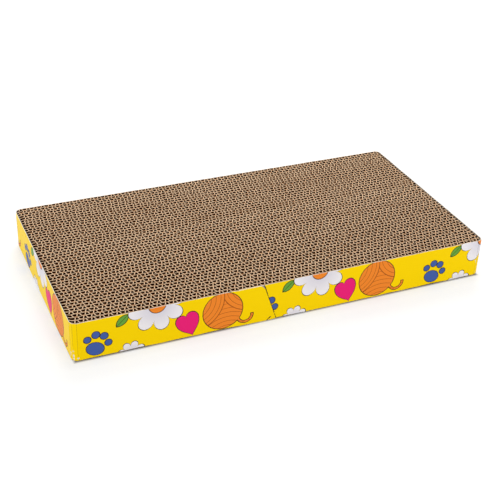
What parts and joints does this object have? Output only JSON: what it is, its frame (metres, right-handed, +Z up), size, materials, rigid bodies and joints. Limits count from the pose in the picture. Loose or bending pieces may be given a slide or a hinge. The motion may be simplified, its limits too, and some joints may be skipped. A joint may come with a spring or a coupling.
{
  "type": "cat scratching pad",
  "caption": "Flat rectangular cat scratching pad of corrugated cardboard strips glued on edge, its four sides wrapped in a printed paper band with a slanted lap.",
  "frame": {"origin": "centre of the underside", "axes": "+X along the length, +Y to the back, away from the side with the lap, +Z up"},
  "size_m": [0.43, 0.2202, 0.041],
  "materials": {
    "kraft_board": "uncoated kraft cardboard, matt and fibrous, cut on edge",
    "glue": "dried paper glue",
    "printed_band": "coated paper with a satin multicolour print on a yellow ground"
  },
  "bodies": {
    "root": {"strip_01": "kraft_board", "strip_02": "kraft_board", "strip_03": "kraft_board", "strip_04": "kraft_board", "strip_05": "kraft_board", "strip_06": "kraft_board", "strip_07": "kraft_board", "strip_08": "kraft_board", "strip_09": "kraft_board", "strip_10": "kraft_board", "strip_11": "kraft_board", "strip_12": "kraft_board", "strip_13": "kraft_board", "strip_14": "kraft_board", "strip_15": "kraft_board", "strip_16": "kraft_board", "strip_17": "kraft_board", "strip_18": "kraft_board", "strip_19": "kraft_board", "strip_20": "kraft_board", "strip_21": "kraft_board", "strip_22": "kraft_board", "strip_23": "kraft_board", "strip_24": "kraft_board", "strip_25": "kraft_board", "strip_26": "kraft_board", "strip_27": "kraft_board", "strip_28": "kraft_board", "strip_29": "kraft_board", "strip_30": "kraft_board", "strip_31": "kraft_board", "strip_32": "kraft_board", "strip_33": "kraft_board", "strip_34": "kraft_board", "strip_35": "kraft_board", "strip_36": "kraft_board", "strip_37": "kraft_board", "strip_38": "kraft_board", "strip_39": "kraft_board", "strip_40": "kraft_board", "strip_41": "kraft_board", "strip_42": "kraft_board", "strip_43": "kraft_board", "strip_44": "kraft_board", "strip_45": "kraft_board", "strip_46": "kraft_board", "glue_films": "glue", "wrap_band": "printed_band", "lap_glue": "glue"}
  },
  "joints": []
}
